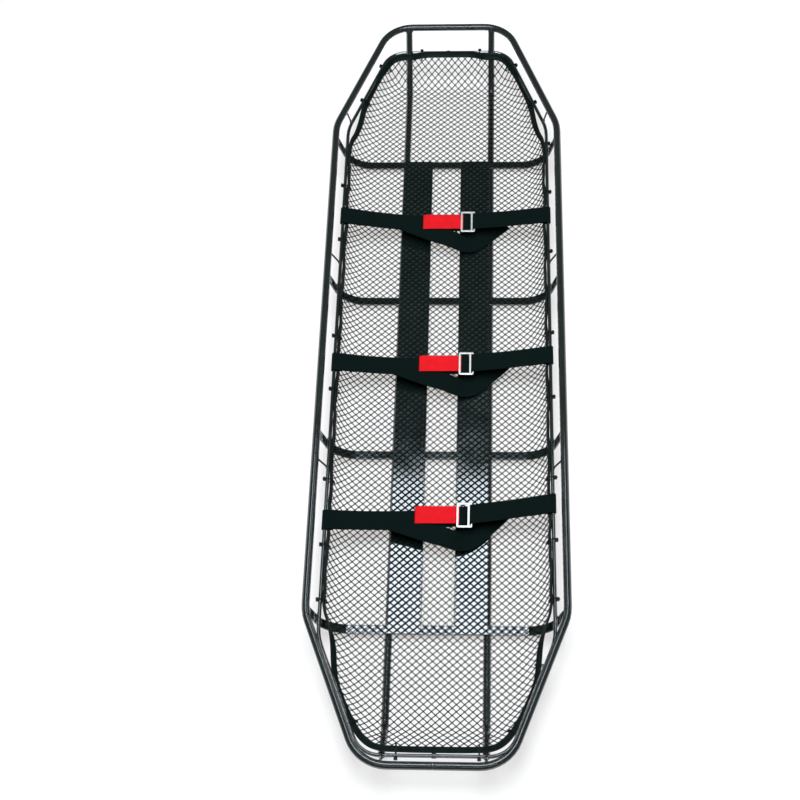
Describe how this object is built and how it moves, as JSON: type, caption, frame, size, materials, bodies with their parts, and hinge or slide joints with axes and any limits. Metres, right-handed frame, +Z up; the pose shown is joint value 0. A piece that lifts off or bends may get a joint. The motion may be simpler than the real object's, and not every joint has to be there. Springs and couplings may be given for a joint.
{
  "type": "basket rescue stretcher",
  "caption": "Shallow tube-frame rescue basket with flat ribs, a net lining and buckled restraint straps across it.",
  "frame": {"origin": "on the ground, under the middle of the basket", "axes": "+Y towards the head end, +Z up, +X to the right seen from above with the head end away"},
  "size_m": [0.613, 2.137, 0.1514],
  "materials": {
    "black_powder_coat": "gloss",
    "black_netting": "satin",
    "black_webbing": "matte",
    "red_webbing": "matte",
    "nickel_plate": "satin"
  },
  "bodies": {
    "basket": {"top_rail_left": "black_powder_coat", "top_rail_right": "black_powder_coat", "rail_sleeve_head": "black_powder_coat", "rail_sleeve_foot": "black_powder_coat", "rail_rivet_head": "black_powder_coat", "rail_rivet_foot": "black_powder_coat", "side_rod_left": "black_powder_coat", "side_rod_right": "black_powder_coat", "rod_ferrule_head": "black_powder_coat", "rod_ferrule_foot": "black_powder_coat", "runner_left": "black_powder_coat", "runner_right": "black_powder_coat", "foot_post_left": "black_powder_coat", "foot_post_right": "black_powder_coat", "rib_1": "black_powder_coat", "rib_2": "black_powder_coat", "rib_3": "black_powder_coat", "rib_4": "black_powder_coat", "slat_left": "black_powder_coat", "slat_right": "black_powder_coat", "strut_left_1": "black_powder_coat", "strut_right_1": "black_powder_coat", "strut_left_2": "black_powder_coat", "strut_right_2": "black_powder_coat", "strut_left_3": "black_powder_coat", "strut_right_3": "black_powder_coat", "strut_left_4": "black_powder_coat", "strut_right_4": "black_powder_coat", "net_floor": "black_netting", "net_side_left": "black_netting", "net_side_right": "black_netting", "net_border": "black_netting"},
    "strap_1_right": {"strap_1_right_web": "black_webbing"},
    "strap_1_left": {"strap_1_left_web": "black_webbing", "strap_1_tail": "black_webbing"},
    "strap_1_buckle": {"buckle_1": "nickel_plate"},
    "strap_1_tab": {"pull_tab_1": "red_webbing"},
    "strap_2_right": {"strap_2_right_web": "black_webbing"},
    "strap_2_left": {"strap_2_left_web": "black_webbing", "strap_2_tail": "black_webbing"},
    "strap_2_buckle": {"buckle_2": "nickel_plate"},
    "strap_2_tab": {"pull_tab_2": "red_webbing"},
    "strap_3_right": {"strap_3_right_web": "black_webbing"},
    "strap_3_left": {"strap_3_left_web": "black_webbing", "strap_3_tail": "black_webbing"},
    "strap_3_buckle": {"buckle_3": "nickel_plate"},
    "strap_3_tab": {"pull_tab_3": "red_webbing"}
  },
  "joints": [
    {"name": "strap_1_right_lift", "type": "hinge", "parent": "basket", "child": "strap_1_right", "pos_m": [0.2706, 0.448, 0.082], "axis": [0, 1, 0], "range_deg": [0, 75]},
    {"name": "strap_1_left_lift", "type": "hinge", "parent": "basket", "child": "strap_1_left", "pos_m": [-0.2706, 0.448, 0.082], "axis": [0, -1, 0], "range_deg": [0, 15]},
    {"name": "strap_1_buckle_tilt", "type": "hinge", "parent": "strap_1_right", "child": "strap_1_buckle", "pos_m": [0.077, 0.447, 0.0562], "axis": [0, 1, 0], "range_deg": [0, 45]},
    {"name": "strap_1_tab_flip", "type": "hinge", "parent": "strap_1_buckle", "child": "strap_1_tab", "pos_m": [0.0435, 0.447, 0.0562], "axis": [0, 1, 0], "range_deg": [0, 130]},
    {"name": "strap_2_right_lift", "type": "hinge", "parent": "basket", "child": "strap_2_right", "pos_m": [0.2706, 0.014, 0.082], "axis": [0, 1, 0], "range_deg": [0, 75]},
    {"name": "strap_2_left_lift", "type": "hinge", "parent": "basket", "child": "strap_2_left", "pos_m": [-0.2706, -0.007, 0.082], "axis": [0, -1, 0], "range_deg": [0, 15]},
    {"name": "strap_2_buckle_tilt", "type": "hinge", "parent": "strap_2_right", "child": "strap_2_buckle", "pos_m": [0.077, 0.0055, 0.0562], "axis": [0, 1, 0], "range_deg": [0, 45]},
    {"name": "strap_2_tab_flip", "type": "hinge", "parent": "strap_2_buckle", "child": "strap_2_tab", "pos_m": [0.0435, 0.0055, 0.0562], "axis": [0, 1, 0], "range_deg": [0, 130]},
    {"name": "strap_3_right_lift", "type": "hinge", "parent": "basket", "child": "strap_3_right", "pos_m": [0.2706, -0.4, 0.082], "axis": [0, 1, 0], "range_deg": [0, 75]},
    {"name": "strap_3_left_lift", "type": "hinge", "parent": "basket", "child": "strap_3_left", "pos_m": [-0.2706, -0.447, 0.082], "axis": [0, -1, 0], "range_deg": [0, 15]},
    {"name": "strap_3_buckle_tilt", "type": "hinge", "parent": "strap_3_right", "child": "strap_3_buckle", "pos_m": [0.077, -0.4187, 0.0562], "axis": [0, 1, 0], "range_deg": [0, 45]},
    {"name": "strap_3_tab_flip", "type": "hinge", "parent": "strap_3_buckle", "child": "strap_3_tab", "pos_m": [0.0435, -0.4187, 0.0562], "axis": [0, 1, 0], "range_deg": [0, 130]}
  ],
  "couplings": [
    {"joint": "strap_1_left_lift", "follows": "strap_1_right_lift", "ratio": 0.2},
    {"joint": "strap_2_left_lift", "follows": "strap_2_right_lift", "ratio": 0.2},
    {"joint": "strap_3_left_lift", "follows": "strap_3_right_lift", "ratio": 0.2}
  ]
}
